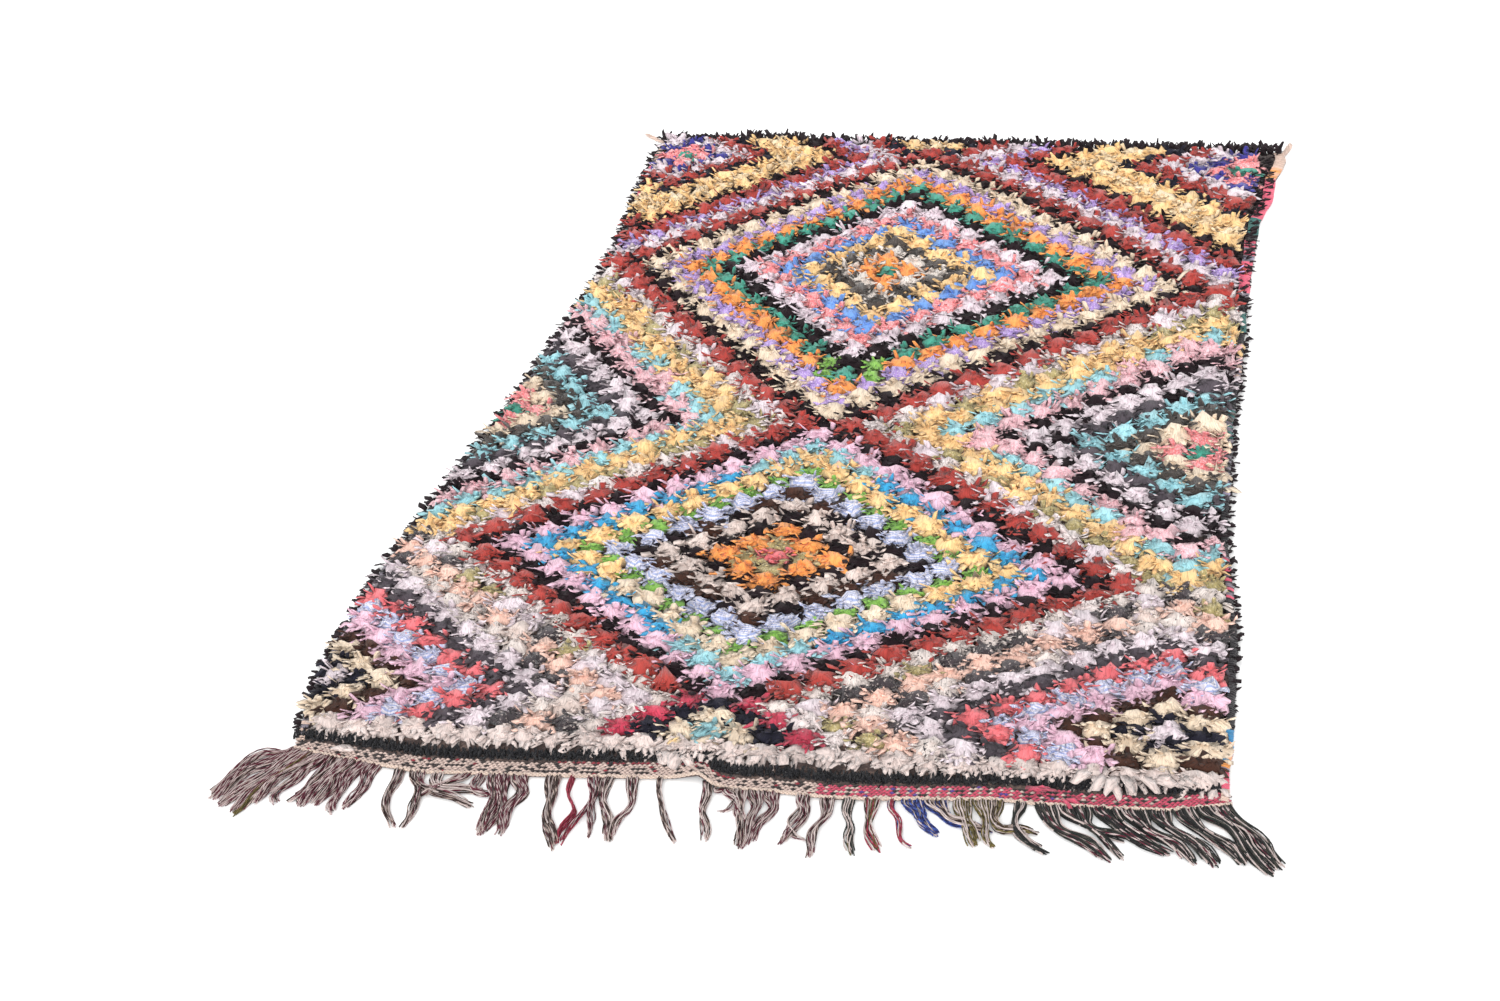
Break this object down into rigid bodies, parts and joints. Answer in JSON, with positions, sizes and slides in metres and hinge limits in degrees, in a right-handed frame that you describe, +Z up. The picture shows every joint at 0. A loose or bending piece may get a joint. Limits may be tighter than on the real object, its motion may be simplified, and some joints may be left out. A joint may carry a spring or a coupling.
{
  "type": "boucherouite rug",
  "caption": "Hand-knotted rag pile rug lying flat: woven ground, shaggy diamond-patterned pile, low wool band and fringed front end.",
  "frame": {"origin": "on the floor under the ground weave, near the rug's middle", "axes": "+X to the rug's right, +Y from the fringed front end to the back end, +Z up"},
  "size_m": [1.424, 2.4601, 0.032],
  "materials": {
    "ground_weft": "weft-faced flat weave of spun rag and wool in coral, black, teal, cream and grey",
    "rag_pile": "shaggy pile of cut jersey and cotton rag strips in many colours",
    "wool_pile": "short black wool pile",
    "warp_yarn": "two-ply marled warp yarn in cream with brown, burgundy and dark green"
  },
  "bodies": {
    "root": {"ground_weave": "ground_weft", "rag_pile": "rag_pile", "wool_band": "wool_pile", "front_fringe": "warp_yarn", "corner_tail_left": "warp_yarn", "corner_tail_right": "warp_yarn"}
  },
  "joints": []
}
